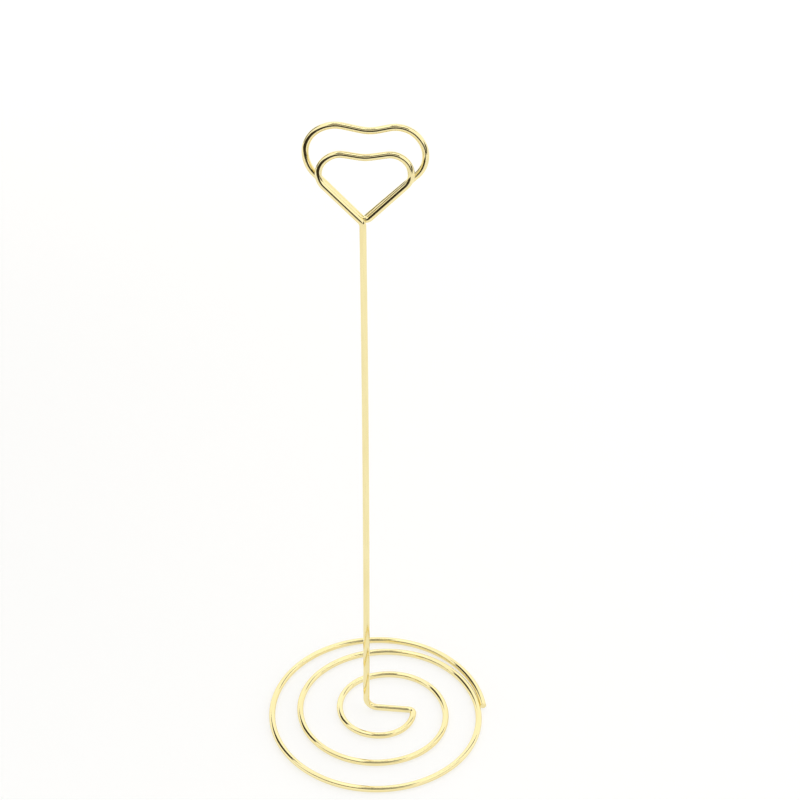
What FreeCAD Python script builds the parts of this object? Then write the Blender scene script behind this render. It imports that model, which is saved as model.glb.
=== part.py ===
import FreeCAD, Part
import math
import os

# Table number holder bent from one length of round, gold-plated steel wire.
# The wire starts at a cut end, winds three turns of flat spiral that lie on the
# table, turns a sharp corner into a straight radial arm, rises as a tall stem
# and finishes in two heart-shaped loops, one close behind the other. A card is
# pushed down between the loops, which spring apart to let it in.
#
# The real object is a single wire, so each node here is one formed section of
# it: a turn, a bend, a straight or a lobe. Neighbouring sections meet face to
# face, square to the wire. The rear loop is a body of its own, because it is
# the part that springs open, about the straight bit of wire that crosses
# behind the top of the stem.
#
# Millimetres, +Z up, -Y is the front (the side the card is read from). The
# origin is on the table, at the centre of the object's footprint.

Vec = FreeCAD.Vector

# ---------------------------------------------------------------- dimensions
WIRE_D = 2.0                 # wire diameter
WIRE_R = WIRE_D / 2.0
CUT_CHAMFER = 0.18           # small bevel left by deburring a cut end

# Base spiral, seen from above, in plan coordinates centred on the outer turn.
ARM_FOOT = (-3.292, 2.745)   # where the stem stands
ARM_CORNER = (11.695, 1.139)  # sharp corner between the arm and the spiral
CORNER_BEND_R = 1.65         # centreline radius of that corner
SPIRAL_START = (11.411, -0.983)
SPIRAL_HEADING = -97.5       # degrees from +X
# Clockwise arcs of the spiral, from the corner outwards: (radius, degrees).
INNER_TURN = [(10.33, 66.5), (12.24, 88.5), (14.18, 85.8), (17.68, 84.8)]
MIDDLE_TURN = [(19.86, 86.4), (23.92, 79.5), (24.03, 85.0), (28.51, 90.3)]
OUTER_TURN = [(30.13, 92.4), (32.97, 80.0), (32.97, 79.0), (33.18, 105.6),
              (34.60, 41.5)]

# Stem
FOOT_BEND_R = 3.6            # arm to stem
STEM_BOW = 0.62              # sideways offset of the stem's tangents at mid height
STEM_MID_Z = 96.0
TOP_BEND_R = 2.5             # stem to the front loop's left leg

# Clip: both loops lean back by this angle, in a plane that passes through the
# top of the stem. Loop points are (x across, h up the leaning plane, d back
# from it), measured from CLIP_ORIGIN.
CLIP_LEAN = 15.0
CLIP_ORIGIN = (-2.874, 2.745, 189.75)
STEM_TOP = (-0.116, 0.272, 0.0)       # corner between the stem and the left leg
# Corners of the front loop's bend polygon, then the tangent length of the bend
# at each corner. Where two neighbouring bends leave part of the edge between
# them unused, the wire runs straight: most of all either side of the top dip.
FRONT_LOOP = [(-12.453, 12.571, 0.58), (-12.224, 17.539, 0.75),
              (-7.657, 20.546, 0.95), (0.554, 19.035, 1.24),
              (8.737, 20.118, 1.50), (12.817, 17.510, 1.67),
              (13.728, 12.264, 1.84)]
FRONT_T = [2.160, 2.694, 2.388, 1.794, 2.101, 2.489, 2.544]
CROSS_RIGHT = (1.376, 0.45, 2.40)     # right end of the wire behind the stem
CROSS_LEFT = (-0.245, 0.45, 2.40)     # left end
CROSS_BEND_R = 1.80
HINGE_GAP = 0.03                      # between the two halves of the crossing
REAR_LOOP = [(-16.054, 16.610, 2.94), (-15.895, 24.751, 3.13),
             (-9.009, 28.420, 3.33), (1.820, 25.892, 3.58),
             (12.462, 27.906, 3.85), (17.567, 20.978, 4.06),
             (17.121, 14.880, 4.21)]
REAR_T = [3.826, 4.178, 3.451, 2.588, 5.181, 3.042, 2.950]
REAR_END = (0.300, -0.484, 4.75)      # cut end, behind the crossing


# ------------------------------------------------------------------- helpers
def unit(v):
    return v * (1.0 / v.Length)


class Seg:
    """A straight run or a circular bend of the wire's centreline."""

    def __init__(self, start, end, centre=None, axis=None, angle=0.0):
        self.start, self.end = start, end
        self.centre, self.axis, self.angle = centre, axis, angle

    def length(self):
        if self.centre is None:
            return (self.end - self.start).Length
        return (self.start - self.centre).Length * self.angle

    def start_dir(self):
        if self.centre is None:
            return unit(self.end - self.start)
        return unit(self.axis.cross(self.start - self.centre))

    def end_dir(self):
        if self.centre is None:
            return unit(self.end - self.start)
        return unit(self.axis.cross(self.end - self.centre))

    def solid(self):
        disc = Part.Face(Part.Wire(Part.makeCircle(WIRE_R, self.start, self.start_dir())))
        if self.centre is None:
            return disc.extrude(self.end - self.start)
        return disc.revolve(self.centre, self.axis, math.degrees(self.angle))


def straight(a, b):
    return Seg(a, b)


def fillet(before, corner, after, t):
    """The bend that rounds a corner, touching both runs t from the corner."""
    u = unit(corner - before)
    w = unit(after - corner)
    turn = math.acos(max(-1.0, min(1.0, u.dot(w))))
    r = t / math.tan(turn / 2.0)
    axis = unit(u.cross(w))
    start = corner - u * t
    centre = start + axis.cross(u) * r
    return Seg(start, corner + w * t, centre, axis, turn)


def fillet_r(before, corner, after, r):
    """The same, given its centreline radius."""
    u = unit(corner - before)
    w = unit(after - corner)
    turn = math.acos(max(-1.0, min(1.0, u.dot(w))))
    return fillet(before, corner, after, r * math.tan(turn / 2.0))


def plan_arcs(x, y, heading, arcs, z):
    """Clockwise arcs in plan, each tangent to the one before it."""
    out = []
    axis = Vec(0, 0, -1)
    for radius, degrees in arcs:
        a = math.radians(degrees)
        cx = x + radius * math.sin(heading)
        cy = y - radius * math.cos(heading)
        heading2 = heading - a
        x2 = cx - radius * math.sin(heading2)
        y2 = cy + radius * math.cos(heading2)
        out.append(Seg(Vec(x, y, z), Vec(x2, y2, z), Vec(cx, cy, z), axis, a))
        x, y, heading = x2, y2, heading2
    return out, x, y, heading


def lean(p):
    """A clip point (x, h, d) in the object's frame."""
    t = math.radians(CLIP_LEAN)
    return Vec(CLIP_ORIGIN[0] + p[0],
               CLIP_ORIGIN[1] + p[1] * math.sin(t) + p[2] * math.cos(t),
               CLIP_ORIGIN[2] + p[1] * math.cos(t) - p[2] * math.sin(t))


def loop_bends(points, tangents):
    """The bends at points[1:-1], given each one's tangent length."""
    return [fillet(points[i - 1], points[i], points[i + 1], tangents[i - 1])
            for i in range(1, len(points) - 1)]


def joined(bends):
    """Bends with the straight runs between them."""
    out = [bends[0]]
    for bend in bends[1:]:
        out.append(straight(out[-1].end, bend.start))
        out.append(bend)
    return out


def section(segs, cut_start=False, cut_end=False):
    """The wire along a list of segments, with a deburred end where it is cut."""
    parts = []
    segs = list(segs)
    c = CUT_CHAMFER
    if cut_start:
        s = segs[0]
        d = s.start_dir()
        parts.append(Part.makeCone(WIRE_R - c, WIRE_R, c, s.start - d * c, d))
    if cut_end:
        s = segs[-1]
        d = s.end_dir()
        parts.append(Part.makeCone(WIRE_R, WIRE_R - c, c, s.end, d))
    parts += [s.solid() for s in segs]
    shape = parts[0]
    if len(parts) > 1:
        shape = parts[0].multiFuse(parts[1:])
    if shape.ShapeType != "Solid":
        solids = shape.Solids
        if len(solids) != 1:
            raise RuntimeError("a section came out as %d solids" % len(solids))
        shape = solids[0]
    return shape


# ------------------------------------------------------------ the wire's path
z0 = WIRE_R
foot = Vec(ARM_FOOT[0], ARM_FOOT[1], z0)
corner = Vec(ARM_CORNER[0], ARM_CORNER[1], z0)
spiral_start = Vec(SPIRAL_START[0], SPIRAL_START[1], z0)

inner, x, y, heading = plan_arcs(SPIRAL_START[0], SPIRAL_START[1],
                                 math.radians(SPIRAL_HEADING), INNER_TURN, z0)
middle, x, y, heading = plan_arcs(x, y, heading, MIDDLE_TURN, z0)
outer, x, y, heading = plan_arcs(x, y, heading, OUTER_TURN, z0)

# the spiral's tangent at its start, carried back to the arm's line, is the corner
back = inner[0].start_dir()
arm_dir = unit(corner - foot)
s = ((corner - spiral_start).cross(arm_dir).z) / (back.cross(arm_dir).z)
corner = spiral_start + back * s
corner_bend = fillet_r(foot, corner, spiral_start, CORNER_BEND_R)
corner_run = straight(corner_bend.end, spiral_start)

top = lean(STEM_TOP)
foot.y = top.y
mid = Vec(0.5 * (foot.x + top.x) + STEM_BOW, top.y, STEM_MID_Z)
arm_dir = unit(corner - foot)
front = [top] + [lean(p) for p in FRONT_LOOP] + [lean(CROSS_RIGHT)]
rear = [lean(CROSS_LEFT)] + [lean(p) for p in REAR_LOOP] + [lean(REAR_END)]

corner_bend = fillet_r(foot, corner, spiral_start, CORNER_BEND_R)
corner_run = straight(corner_bend.end, spiral_start)
foot_bend = fillet_r(corner, foot, mid, FOOT_BEND_R)
top_bend = fillet_r(mid, top, front[1], TOP_BEND_R)
low = (mid - foot_bend.end).Length
high = (top_bend.start - mid).Length
stem_bend = fillet(foot, mid, top, min(low, high))
stem_segs = [stem_bend]
if low > high + 1e-6:
    stem_segs = [straight(foot_bend.end, stem_bend.start), stem_bend]
elif high > low + 1e-6:
    stem_segs = [stem_bend, straight(stem_bend.end, top_bend.start)]

front_bends = loop_bends(front, FRONT_T)
rear_bends = loop_bends(rear, REAR_T)
cross_r = fillet_r(front[-2], front[-1], rear[0], CROSS_BEND_R)
cross_l = fillet_r(front[-1], rear[0], rear[1], CROSS_BEND_R)
hinge_mid = (cross_r.end + cross_l.start) * 0.5
hinge_dir = unit(cross_l.start - cross_r.end)
cross_right_run = straight(cross_r.end, hinge_mid - hinge_dir * (HINGE_GAP / 2.0))
cross_left_run = straight(hinge_mid + hinge_dir * (HINGE_GAP / 2.0), cross_l.start)

rear_cut = rear[-1]

nodes = {
    "base_outer_turn": (outer, False, True),
    "base_middle_turn": (middle, False, False),
    "base_inner_turn": (inner, False, False),
    "base_corner_bend": ([corner_bend, corner_run], False, False),
    "base_arm": ([straight(foot_bend.start, corner_bend.start)], False, False),
    "stem_foot_bend": ([foot_bend], False, False),
    "stem": (stem_segs, False, False),
    "stem_top_bend": ([top_bend], False, False),
    "front_loop_left_leg": ([straight(top_bend.end, front_bends[0].start)], False, False),
    "front_loop_left_lobe": (joined(front_bends[0:3]), False, False),
    "front_loop_top_dip": (joined(front_bends[2:5])[1:-1], False, False),
    "front_loop_right_lobe": (joined(front_bends[4:7]), False, False),
    "front_loop_right_leg": ([straight(front_bends[6].end, cross_r.start)], False, False),
    "crossing_right_bend": ([cross_r, cross_right_run], False, False),
    "crossing_left_bend": ([cross_left_run, cross_l], False, False),
    "rear_loop_left_leg": ([straight(cross_l.end, rear_bends[0].start)], False, False),
    "rear_loop_left_lobe": (joined(rear_bends[0:3]), False, False),
    "rear_loop_top_dip": (joined(rear_bends[2:5])[1:-1], False, False),
    "rear_loop_right_lobe": (joined(rear_bends[4:7]), False, False),
    "rear_loop_right_leg": ([straight(rear_bends[6].end, rear_cut)], False, True),
}

shapes = {}
for name, (segs, a, b) in nodes.items():
    shapes[name] = section(segs, a, b)

# ------------------------------------------- put the origin under the footprint
box = FreeCAD.BoundBox()
for shape in shapes.values():
    box.add(shape.optimalBoundingBox(False, False))
shift = Vec(-0.5 * (box.XMin + box.XMax), -0.5 * (box.YMin + box.YMax), -box.ZMin)

os.makedirs("parts", exist_ok=True)
total = 0.0
area = math.pi * WIRE_R ** 2
for name, shape in shapes.items():
    length = sum(sg.length() for sg in nodes[name][0])
    total += length
    moved = shape.copy()
    moved.translate(shift)
    moved.exportStep(os.path.join("parts", name + ".step"))
    radii = [round((sg.start - sg.centre).Length, 2) for sg in nodes[name][0] if sg.centre is not None]
    print("%-24s length %7.2f  volume/section %7.2f  valid %s  bend radii %s"
          % (name, length, shape.Volume / area, shape.isValid(), radii))

print("wire length %.1f mm" % total)
print("shift %.4f %.4f %.4f" % (shift.x, shift.y, shift.z))
print("size %.3f x %.3f x %.3f" % (box.XLength, box.YLength, box.ZLength))
h = hinge_mid + shift
print("hinge point %.4f %.4f %.4f  direction %.5f %.5f %.5f"
      % (h.x, h.y, h.z, hinge_dir.x, hinge_dir.y, hinge_dir.z))
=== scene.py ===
"""Table number holder: the looks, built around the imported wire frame.

The holder is one gold-plated wire. Every formed section of it (a turn, a bend,
a straight, a lobe) is a smooth swept tube that stands for the CAD node of the
same section, ring for ring with its neighbours, so the wire reads as one.
"""

import math

import bpy
import numpy as np
from mathutils import Matrix, Vector


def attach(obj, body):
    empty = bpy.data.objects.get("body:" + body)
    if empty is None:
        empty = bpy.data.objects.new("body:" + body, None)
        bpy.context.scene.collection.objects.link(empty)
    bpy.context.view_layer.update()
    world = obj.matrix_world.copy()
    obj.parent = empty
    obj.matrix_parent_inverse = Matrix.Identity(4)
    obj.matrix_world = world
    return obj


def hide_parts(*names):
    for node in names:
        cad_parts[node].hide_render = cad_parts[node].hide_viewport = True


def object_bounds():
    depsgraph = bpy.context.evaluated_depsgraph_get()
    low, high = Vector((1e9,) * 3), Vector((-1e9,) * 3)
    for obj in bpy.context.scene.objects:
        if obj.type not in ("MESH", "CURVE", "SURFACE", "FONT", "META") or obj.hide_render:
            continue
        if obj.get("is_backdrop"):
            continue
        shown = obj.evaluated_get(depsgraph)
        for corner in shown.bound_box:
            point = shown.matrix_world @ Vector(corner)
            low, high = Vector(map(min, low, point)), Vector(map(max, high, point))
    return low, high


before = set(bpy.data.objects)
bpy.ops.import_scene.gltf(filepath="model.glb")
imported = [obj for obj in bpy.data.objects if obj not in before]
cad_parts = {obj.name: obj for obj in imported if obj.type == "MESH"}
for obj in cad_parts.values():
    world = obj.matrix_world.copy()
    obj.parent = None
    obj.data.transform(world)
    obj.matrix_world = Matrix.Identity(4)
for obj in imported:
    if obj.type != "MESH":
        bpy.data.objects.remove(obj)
cad_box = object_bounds()
scene = bpy.context.scene

# ------------------------------------------------------------------ wire route
# The same driving dimensions as the part's own source, in millimetres.
MM = 0.001
WIRE_R = 1.0
CUT_CHAMFER = 0.18

ARM_FOOT = (-3.292, 2.745)
ARM_CORNER = (11.695, 1.139)
CORNER_BEND_R = 1.65
SPIRAL_START = (11.411, -0.983)
SPIRAL_HEADING = -97.5
INNER_TURN = [(10.33, 66.5), (12.24, 88.5), (14.18, 85.8), (17.68, 84.8)]
MIDDLE_TURN = [(19.86, 86.4), (23.92, 79.5), (24.03, 85.0), (28.51, 90.3)]
OUTER_TURN = [(30.13, 92.4), (32.97, 80.0), (32.97, 79.0), (33.18, 105.6), (34.60, 41.5)]
FOOT_BEND_R = 3.6
STEM_BOW = 0.62
STEM_MID_Z = 96.0
TOP_BEND_R = 2.5
CLIP_LEAN = 15.0
CLIP_ORIGIN = (-2.874, 2.745, 189.75)
STEM_TOP = (-0.116, 0.272, 0.0)
FRONT_LOOP = [(-12.453, 12.571, 0.58), (-12.224, 17.539, 0.75), (-7.657, 20.546, 0.95),
              (0.554, 19.035, 1.24), (8.737, 20.118, 1.50), (12.817, 17.510, 1.67),
              (13.728, 12.264, 1.84)]
FRONT_T = [2.160, 2.694, 2.388, 1.794, 2.101, 2.489, 2.544]
CROSS_RIGHT = (1.376, 0.45, 2.40)
CROSS_LEFT = (-0.245, 0.45, 2.40)
CROSS_BEND_R = 1.80
HINGE_GAP = 0.03
REAR_LOOP = [(-16.054, 16.610, 2.94), (-15.895, 24.751, 3.13), (-9.009, 28.420, 3.33),
             (1.820, 25.892, 3.58), (12.462, 27.906, 3.85), (17.567, 20.978, 4.06),
             (17.121, 14.880, 4.21)]
REAR_T = [3.826, 4.178, 3.451, 2.588, 5.181, 3.042, 2.950]
REAR_END = (0.300, -0.484, 4.75)


def vec(*p):
    return np.array(p, float)


def unit(v):
    return v / np.linalg.norm(v)


def rotated(v, axis, a):
    return v * math.cos(a) + np.cross(axis, v) * math.sin(a) + axis * axis.dot(v) * (1 - math.cos(a))


class Seg:
    """A straight run or a circular bend of the wire's centreline."""

    def __init__(self, start, end, centre=None, axis=None, angle=0.0):
        self.start, self.end, self.centre, self.axis, self.angle = start, end, centre, axis, angle

    def length(self):
        if self.centre is None:
            return float(np.linalg.norm(self.end - self.start))
        return float(np.linalg.norm(self.start - self.centre)) * self.angle

    def at(self, f):
        """(point, direction) at fraction f of the run."""
        if self.centre is None:
            return self.start + (self.end - self.start) * f, unit(self.end - self.start)
        arm = rotated(self.start - self.centre, self.axis, self.angle * f)
        return self.centre + arm, unit(np.cross(self.axis, arm))


def fillet(before, corner, after, t):
    u, w = unit(corner - before), unit(after - corner)
    turn = math.acos(max(-1.0, min(1.0, float(u.dot(w)))))
    r = t / math.tan(turn / 2.0)
    axis = unit(np.cross(u, w))
    start = corner - u * t
    return Seg(start, corner + w * t, start + np.cross(axis, u) * r, axis, turn)


def fillet_r(before, corner, after, r):
    u, w = unit(corner - before), unit(after - corner)
    turn = math.acos(max(-1.0, min(1.0, float(u.dot(w)))))
    return fillet(before, corner, after, r * math.tan(turn / 2.0))


def plan_arcs(x, y, heading, arcs, z):
    out, axis = [], vec(0, 0, -1)
    for radius, degrees in arcs:
        a = math.radians(degrees)
        cx, cy = x + radius * math.sin(heading), y - radius * math.cos(heading)
        h2 = heading - a
        x2, y2 = cx - radius * math.sin(h2), cy + radius * math.cos(h2)
        out.append(Seg(vec(x, y, z), vec(x2, y2, z), vec(cx, cy, z), axis, a))
        x, y, heading = x2, y2, h2
    return out, x, y, heading


def lean(p):
    t = math.radians(CLIP_LEAN)
    return vec(CLIP_ORIGIN[0] + p[0],
               CLIP_ORIGIN[1] + p[1] * math.sin(t) + p[2] * math.cos(t),
               CLIP_ORIGIN[2] + p[1] * math.cos(t) - p[2] * math.sin(t))


def loop_bends(points, tangents):
    return [fillet(points[i - 1], points[i], points[i + 1], tangents[i - 1])
            for i in range(1, len(points) - 1)]


def joined(bends):
    """Bends with the straight runs between them."""
    out = [bends[0]]
    for bend in bends[1:]:
        out += [Seg(out[-1].end, bend.start), bend]
    return out


z0 = WIRE_R
foot = vec(ARM_FOOT[0], ARM_FOOT[1], z0)
corner = vec(ARM_CORNER[0], ARM_CORNER[1], z0)
spiral_start = vec(SPIRAL_START[0], SPIRAL_START[1], z0)
inner, px, py, head = plan_arcs(*SPIRAL_START, math.radians(SPIRAL_HEADING), INNER_TURN, z0)
middle, px, py, head = plan_arcs(px, py, head, MIDDLE_TURN, z0)
outer, px, py, head = plan_arcs(px, py, head, OUTER_TURN, z0)
back = inner[0].at(0)[1]
arm_dir = unit(corner - foot)
corner = spiral_start + back * (np.cross(corner - spiral_start, arm_dir)[2] / np.cross(back, arm_dir)[2])

top = lean(STEM_TOP)
foot[1] = top[1]
mid = vec(0.5 * (foot[0] + top[0]) + STEM_BOW, top[1], STEM_MID_Z)
front = [top] + [lean(p) for p in FRONT_LOOP] + [lean(CROSS_RIGHT)]
rear = [lean(CROSS_LEFT)] + [lean(p) for p in REAR_LOOP] + [lean(REAR_END)]

corner_bend = fillet_r(foot, corner, spiral_start, CORNER_BEND_R)
foot_bend = fillet_r(corner, foot, mid, FOOT_BEND_R)
top_bend = fillet_r(mid, top, front[1], TOP_BEND_R)
low = float(np.linalg.norm(mid - foot_bend.end))
high = float(np.linalg.norm(top_bend.start - mid))
stem_bend = fillet(foot, mid, top, min(low, high))
stem_segs = [stem_bend]
if low > high + 1e-6:
    stem_segs = [Seg(foot_bend.end, stem_bend.start), stem_bend]
elif high > low + 1e-6:
    stem_segs = [stem_bend, Seg(stem_bend.end, top_bend.start)]
front_bends = loop_bends(front, FRONT_T)
rear_bends = loop_bends(rear, REAR_T)
cross_r = fillet_r(front[-2], front[-1], rear[0], CROSS_BEND_R)
cross_l = fillet_r(front[-1], rear[0], rear[1], CROSS_BEND_R)
hinge_mid = (cross_r.end + cross_l.start) * 0.5
hinge_dir = unit(cross_l.start - cross_r.end)


def turned_back(segs):
    """The same run, walked the other way."""
    return [Seg(s.end, s.start) if s.centre is None else Seg(s.end, s.start, s.centre, -s.axis, s.angle)
            for s in reversed(segs)]


# (node, body, run), in the order the wire runs, from the spiral's cut end to the
# rear loop's.
ROUTE = [
    ("base_outer_turn", "stand", turned_back(outer)),
    ("base_middle_turn", "stand", turned_back(middle)),
    ("base_inner_turn", "stand", turned_back(inner)),
    ("base_corner_bend", "stand", turned_back([corner_bend, Seg(corner_bend.end, spiral_start)])),
    ("base_arm", "stand", [Seg(corner_bend.start, foot_bend.start)]),
    ("stem_foot_bend", "stand", [foot_bend]),
    ("stem", "stand", stem_segs),
    ("stem_top_bend", "stand", [top_bend]),
    ("front_loop_left_leg", "stand", [Seg(top_bend.end, front_bends[0].start)]),
    ("front_loop_left_lobe", "stand", joined(front_bends[0:3])),
    ("front_loop_top_dip", "stand", joined(front_bends[2:5])[1:-1]),
    ("front_loop_right_lobe", "stand", joined(front_bends[4:7])),
    ("front_loop_right_leg", "stand", [Seg(front_bends[6].end, cross_r.start)]),
    ("crossing_right_bend", "stand", [cross_r, Seg(cross_r.end, hinge_mid - hinge_dir * (HINGE_GAP / 2))]),
    ("crossing_left_bend", "rear_loop", [Seg(hinge_mid + hinge_dir * (HINGE_GAP / 2), cross_l.start), cross_l]),
    ("rear_loop_left_leg", "rear_loop", [Seg(cross_l.end, rear_bends[0].start)]),
    ("rear_loop_left_lobe", "rear_loop", joined(rear_bends[0:3])),
    ("rear_loop_top_dip", "rear_loop", joined(rear_bends[2:5])[1:-1]),
    ("rear_loop_right_lobe", "rear_loop", joined(rear_bends[4:7])),
    ("rear_loop_right_leg", "rear_loop", [Seg(rear_bends[6].end, rear[-1])]),
]

CUT_AT_START = {"base_outer_turn"}
CUT_AT_END = {"rear_loop_right_leg"}

# The part's source moves everything so that its footprint is centred.
SHIFT = vec(-0.3097, 0.0283, 0.0)

# ------------------------------------------------------------- swept wire mesh
RING = 48                        # points round the wire
MAX_ANGLE = math.radians(2.5)    # most that one step may turn
MAX_STEP = 0.8                   # mm
CUT_RINGS = 5                    # rings on the rounded edge of a cut end


def sample(segs):
    """Points, directions and lengths along a run, dense on bends."""
    pts, dirs, along, done = [], [], [], 0.0
    for k, s in enumerate(segs):
        length = s.length()
        n = max(1, math.ceil(length / MAX_STEP - 1e-9))
        if s.centre is not None:
            n = max(n, math.ceil(s.angle / MAX_ANGLE))
        for i in range(0 if k == 0 else 1, n + 1):
            p, d = s.at(i / n)
            pts.append(p)
            dirs.append(d)
            along.append(done + length * i / n)
        done += length
    return pts, dirs, along, done


def carried(side, d0, d1):
    """side, taken along with the wire from direction d0 to d1 without twist."""
    axis = np.cross(d0, d1)
    n = float(np.linalg.norm(axis))
    if n > 1e-12:
        side = rotated(side, axis / n, math.atan2(n, float(d0.dot(d1))))
    return unit(side - d1 * side.dot(d1))


def tube(name, segs, side, start_mm, cut_start, cut_end):
    """A closed, smooth tube along a run. Returns it, the side vector and the
    length reached, so that the next run's first ring is this one's last."""
    pts, dirs, along, length = sample(segs)
    # (centre, direction, side, radius, normal's lean along the wire, s)
    rings = []
    sides = []
    for i, (p, d) in enumerate(zip(pts, dirs)):
        if i:
            side = carried(side, dirs[i - 1], d)
        else:
            side = unit(side - d * side.dot(d))
        sides.append(side)
        rings.append([p, d, side, WIRE_R, 0.0, start_mm + along[i]])
    c = CUT_CHAMFER
    if cut_start:
        p, d, sd = pts[0], dirs[0], sides[0]
        extra = []
        for k in range(CUT_RINGS, 0, -1):
            a = (math.pi / 2) * k / CUT_RINGS
            extra.append([p - d * c * math.sin(a), d, sd, WIRE_R - c + c * math.cos(a), -a,
                          start_mm - c * math.sin(a)])
        rings = extra + rings
    if cut_end:
        p, d, sd = pts[-1], dirs[-1], sides[-1]
        for k in range(1, CUT_RINGS + 1):
            a = (math.pi / 2) * k / CUT_RINGS
            rings.append([p + d * c * math.sin(a), d, sd, WIRE_R - c + c * math.cos(a), a,
                          start_mm + length + c * math.sin(a)])
    verts, normals, wire = [], [], []
    for p, d, sd, r, tilt, s in rings:
        up = np.cross(d, sd)
        for j in range(RING):
            th = 2 * math.pi * j / RING
            out = sd * math.cos(th) + up * math.sin(th)
            verts.append((p + out * r + SHIFT) * MM)
            normals.append(out * math.cos(tilt) + d * math.sin(tilt))
            wire.append((s, math.cos(th) * r, math.sin(th) * r))
    faces, loops = [], []
    for i in range(len(rings) - 1):
        for j in range(RING):
            k = (j + 1) % RING
            quad = (i * RING + j, i * RING + k, (i + 1) * RING + k, (i + 1) * RING + j)
            faces.append(quad)
            loops += [normals[v] for v in quad]
    for end, ring in ((0, rings[0]), (1, rings[-1])):
        base = (len(rings) - 1) * RING if end else 0
        face_dir = ring[1] * (1 if end else -1)
        hub = len(verts)
        verts.append((ring[0] + SHIFT) * MM)
        wire.append((ring[5], 0.0, 0.0))
        normals.append(face_dir)
        for j in range(RING):
            k = (j + 1) % RING
            a, b = base + j, base + k
            faces.append((a, b, hub) if end else (b, a, hub))
            loops += [face_dir] * 3
    mesh = bpy.data.meshes.new(name)
    mesh.from_pydata([tuple(v) for v in verts], [], faces)
    mesh.validate()
    mesh.update()
    for p in mesh.polygons:
        p.use_smooth = True
    mesh.normals_split_custom_set([tuple(n) for n in loops])
    at = mesh.attributes.new("wire", "FLOAT_VECTOR", "POINT")
    at.data.foreach_set("vector", np.array(wire, np.float32).ravel())
    obj = bpy.data.objects.new(name, mesh)
    scene.collection.objects.link(obj)
    return obj, side, start_mm + length


# ------------------------------------------------------------ gold-plated wire
def gold_wire():
    """Bright gold plate over drawn wire: near-mirror, with hairlines left along
    the wire by the die, a faint drift in tone, and small handling scuffs."""
    mat = bpy.data.materials.new("gold_plated_wire")
    mat.use_nodes = True
    nt = mat.node_tree
    nt.nodes.clear()
    out = nt.nodes.new("ShaderNodeOutputMaterial")
    bsdf = nt.nodes.new("ShaderNodeBsdfPrincipled")
    nt.links.new(bsdf.outputs["BSDF"], out.inputs["Surface"])
    bsdf.inputs["Metallic"].default_value = 1.0
    bsdf.inputs["Specular IOR Level"].default_value = 0.5

    at = nt.nodes.new("ShaderNodeAttribute")
    at.attribute_name = "wire"

    def scaled(x, y, z):
        m = nt.nodes.new("ShaderNodeMapping")
        m.vector_type = "POINT"
        m.inputs["Scale"].default_value = (x, y, z)
        nt.links.new(at.outputs["Vector"], m.inputs["Vector"])
        return m.outputs["Vector"]

    def noise(vector, scale, detail, rough=0.5):
        n = nt.nodes.new("ShaderNodeTexNoise")
        n.inputs["Scale"].default_value = scale
        n.inputs["Detail"].default_value = detail
        n.inputs["Roughness"].default_value = rough
        nt.links.new(vector, n.inputs["Vector"])
        return n.outputs["Fac"]

    def ramp(fac, stops):
        r = nt.nodes.new("ShaderNodeValToRGB")
        r.color_ramp.interpolation = "EASE"
        while len(r.color_ramp.elements) < len(stops):
            r.color_ramp.elements.new(0.5)
        for e, (pos, col) in zip(r.color_ramp.elements, stops):
            e.position = pos
            e.color = col if len(col) == 4 else (*col, 1.0)
        nt.links.new(fac, r.inputs["Fac"])
        return r.outputs["Color"]

    def math_node(op, a, b=None, clamp=False):
        m = nt.nodes.new("ShaderNodeMath")
        m.operation = op
        m.use_clamp = clamp
        for k, v in enumerate((a, b)):
            if v is None:
                continue
            if isinstance(v, (int, float)):
                m.inputs[k].default_value = v
            else:
                nt.links.new(v, m.inputs[k])
        return m.outputs[0]

    # tone: the plate is a touch paler or rosier from one stretch to the next
    drift = noise(scaled(0.045, 0.35, 0.35), 1.0, 2.0)
    tone = ramp(drift, [(0.30, (0.888, 0.772, 0.410)), (0.52, (0.905, 0.796, 0.438)),
                        (0.72, (0.922, 0.820, 0.472))])
    # hairlines: long along the wire, fine across it
    hair = noise(scaled(0.10, 9.0, 9.0), 1.0, 3.0, 0.6)
    fine = noise(scaled(0.35, 26.0, 26.0), 1.0, 2.0, 0.5)
    lines = math_node("ADD", math_node("MULTIPLY", hair, 0.65), math_node("MULTIPLY", fine, 0.35))
    darker = ramp(lines, [(0.30, (0.84, 0.79, 0.64)), (0.55, (1.0, 1.0, 1.0))])
    mix = nt.nodes.new("ShaderNodeMix")
    mix.data_type = "RGBA"
    mix.blend_type = "MULTIPLY"
    mix.inputs["Factor"].default_value = 0.35
    nt.links.new(tone, mix.inputs["A"])
    nt.links.new(darker, mix.inputs["B"])
    nt.links.new(mix.outputs["Result"], bsdf.inputs["Base Color"])

    # scuffs: sparse small patches where the shine is rubbed
    scuff = ramp(noise(scaled(0.55, 1.6, 1.6), 1.0, 4.0, 0.62), [(0.60, (0, 0, 0)), (0.74, (1, 1, 1))])
    rough = math_node("ADD", math_node("MULTIPLY", lines, 0.07),
                      math_node("MULTIPLY", scuff, 0.06))
    rough = math_node("ADD", rough, 0.045)
    nt.links.new(rough, bsdf.inputs["Roughness"])

    bump = nt.nodes.new("ShaderNodeBump")
    bump.inputs["Strength"].default_value = 0.14
    bump.inputs["Distance"].default_value = 0.000006
    nt.links.new(lines, bump.inputs["Height"])
    nt.links.new(bump.outputs["Normal"], bsdf.inputs["Normal"])
    return mat


GOLD = gold_wire()

side = vec(0, 0, 1)
reached = 0.0
last_dir = None
for node, body, segs in ROUTE:
    first_dir = segs[0].at(0)[1]
    if last_dir is not None:
        side = carried(side, last_dir, first_dir)
    piece, side, reached = tube("wire_" + node, segs, side, reached,
                                node in CUT_AT_START, node in CUT_AT_END)
    last_dir = segs[-1].at(1)[1]
    piece.data.materials.append(GOLD)
    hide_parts(node)
    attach(piece, body)


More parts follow.
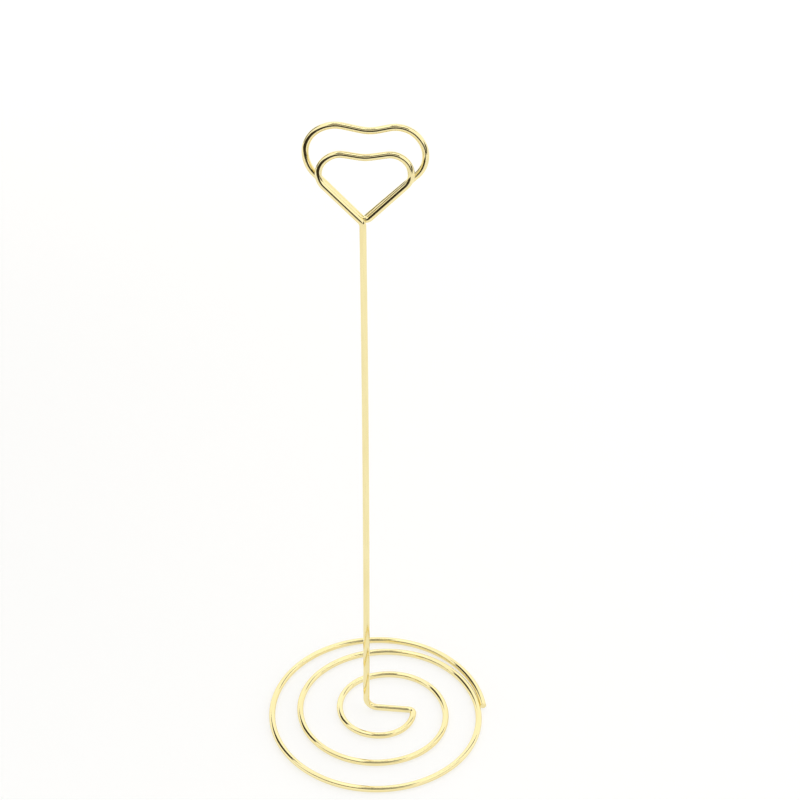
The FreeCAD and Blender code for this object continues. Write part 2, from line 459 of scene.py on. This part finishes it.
# ------------------------------------------------------------- floor and flags
def light_table(name):
    """White acrylic lit from below as well as above, so that nothing on it
    throws more than a faint shadow."""
    mat = bpy.data.materials.new(name)
    mat.use_nodes = True
    nt = mat.node_tree
    b = nt.nodes["Principled BSDF"]
    b.inputs["Roughness"].default_value = 0.9
    b.inputs["Specular IOR Level"].default_value = 0.0
    b.inputs["Emission Color"].default_value = (1.0, 0.995, 0.985, 1.0)
    b.inputs["Emission Strength"].default_value = FLOOR_GLOW
    tc = nt.nodes.new("ShaderNodeTexCoord")
    n = nt.nodes.new("ShaderNodeTexNoise")
    n.inputs["Scale"].default_value = 3.0
    n.inputs["Detail"].default_value = 2.0
    r = nt.nodes.new("ShaderNodeValToRGB")
    r.color_ramp.elements[0].color = (0.395, 0.395, 0.390, 1)
    r.color_ramp.elements[1].color = (0.400, 0.400, 0.396, 1)
    nt.links.new(tc.outputs["Object"], n.inputs["Vector"])
    nt.links.new(n.outputs["Fac"], r.inputs["Fac"])
    nt.links.new(r.outputs["Color"], b.inputs["Base Color"])
    return mat


FLOOR_GLOW = 0.65
TABLE_TOP = light_table("white_light_table")


def black_felt(name):
    """The dull, slightly brown black felt of a studio flag."""
    mat = bpy.data.materials.new(name)
    mat.use_nodes = True
    nt = mat.node_tree
    b = nt.nodes["Principled BSDF"]
    b.inputs["Roughness"].default_value = 0.95
    b.inputs["Specular IOR Level"].default_value = 0.1
    tc = nt.nodes.new("ShaderNodeTexCoord")
    n = nt.nodes.new("ShaderNodeTexNoise")
    n.inputs["Scale"].default_value = 60.0
    r = nt.nodes.new("ShaderNodeValToRGB")
    r.color_ramp.elements[0].color = (0.030, 0.024, 0.016, 1)
    r.color_ramp.elements[1].color = (0.040, 0.033, 0.023, 1)
    nt.links.new(tc.outputs["Object"], n.inputs["Vector"])
    nt.links.new(n.outputs["Fac"], r.inputs["Fac"])
    nt.links.new(r.outputs["Color"], b.inputs["Base Color"])
    return mat


def sheet(name, corners, mat):
    me = bpy.data.meshes.new(name)
    me.from_pydata([tuple(c) for c in corners], [], [tuple(range(len(corners)))])
    me.update()
    me.materials.append(mat)
    ob = bpy.data.objects.new(name, me)
    scene.collection.objects.link(ob)
    ob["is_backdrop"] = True
    return ob


F = 4.0
sheet("floor", [(-F, -F, 0), (F, -F, 0), (F, F, 0), (-F, F, 0)], TABLE_TOP)


FELT = black_felt("black_felt")


def flag(name, at, faces, tilt, turn, width, height):
    """A black flag on a stand, out of shot, that gives the polish its dark
    streaks. faces and tilt are its normal's azimuth (0 is the front) and
    elevation, in radians. It is kept out of camera rays only so that a camera
    moved to another side isn't blocked by it."""
    n = Vector((math.sin(faces) * math.cos(tilt), -math.cos(faces) * math.cos(tilt), math.sin(tilt)))
    r = Vector((math.cos(faces), math.sin(faces), 0.0))
    u = n.cross(r)
    r2 = r * math.cos(turn) + u * math.sin(turn)
    u2 = u * math.cos(turn) - r * math.sin(turn)
    c, w, h = Vector(at), r2 * width / 2, u2 * height / 2
    ob = sheet(name, [c - w - h, c + w - h, c + w + h, c - w + h], FELT)
    ob.visible_camera = False
    return ob


# centre (m), faces, tilt, turn, width, height
FLAGS = [
    (-0.19, -0.47, 0.48, 2.70, 0.53, 0.00, 1.18, 0.76),
    (-0.33, 0.17, 0.29, 1.15, -0.81, 0.69, 0.40, 0.22),
    (0.16, -0.52, 1.16, -2.76, -0.78, 0.55, 0.84, 0.50),
    (0.52, -0.29, 0.25, -1.34, 0.84, 1.32, 0.31, 0.57),
    (0.38, 0.36, 0.92, -0.62, -1.04, -1.07, 1.20, 0.17),
    (-0.01, -0.02, 1.64, 0.19, -1.59, -1.17, 0.12, 0.40),
]
for i, (x, y, z, faces, tilt, turn, w, h) in enumerate(FLAGS):
    flag("flag_%d" % (i + 1), (x, y, z), faces, tilt, turn, w, h)

# ------------------------------------------------------------------ the light
world = bpy.data.worlds.new("studio")
scene.world = world
world.use_nodes = True
bg = world.node_tree.nodes["Background"]
bg.inputs["Color"].default_value = (1.0, 0.997, 0.985, 1.0)
bg.inputs["Strength"].default_value = 1.17


def softbox(name, loc, target, size, power, colour=(1, 1, 1)):
    light = bpy.data.lights.new(name, "AREA")
    light.shape = "RECTANGLE"
    light.size, light.size_y = size
    light.energy = power
    light.color = colour
    ob = bpy.data.objects.new(name, light)
    scene.collection.objects.link(ob)
    ob.location = loc
    d = Vector(target) - Vector(loc)
    ob.rotation_mode = "QUATERNION"
    ob.rotation_quaternion = d.to_track_quat("-Z", "Y")
    return ob


softbox("softbox_top", (0.25, 0.35, 1.6), (0, 0, 0.05), (1.2, 1.2), 2.0, (1.0, 0.99, 0.97))

scene.view_settings.view_transform = "Standard"
scene.view_settings.look = "None"
scene.view_settings.exposure = 0.0
scene.view_settings.gamma = 1.0

# ----------------------------------------------------------------- the camera
cam_data = bpy.data.cameras.new("camera")
cam = bpy.data.objects.new("camera", cam_data)
scene.collection.objects.link(cam)
cam_data.sensor_width = 36.0
cam_data.lens = 142.615
cam_data.clip_start, cam_data.clip_end = 0.05, 20.0
right = Vector((0.999999956, -0.000188076, -0.000228744))
upward = Vector((0.000296136, 0.635099639, 0.772430165))
ahead = Vector((0.0, 0.7724302, -0.63509967))
rot = Matrix((right, upward, -ahead)).transposed()
cam.rotation_mode = "QUATERNION"
cam.rotation_quaternion = rot.to_quaternion()
eye = vec(7.5084538, -709.43427118, 711.71749554) + SHIFT + vec(-0.158, 0.100, 0.122)
cam.location = Vector(eye) * MM
scene.camera = cam

vis_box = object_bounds()
for k in range(3):
    if abs(vis_box[0][k] - cad_box[0][k]) > 0.0001 or abs(vis_box[1][k] - cad_box[1][k]) > 0.0001:
        print("WARNING: the visual box differs from the CAD box:", cad_box, vis_box)
        break
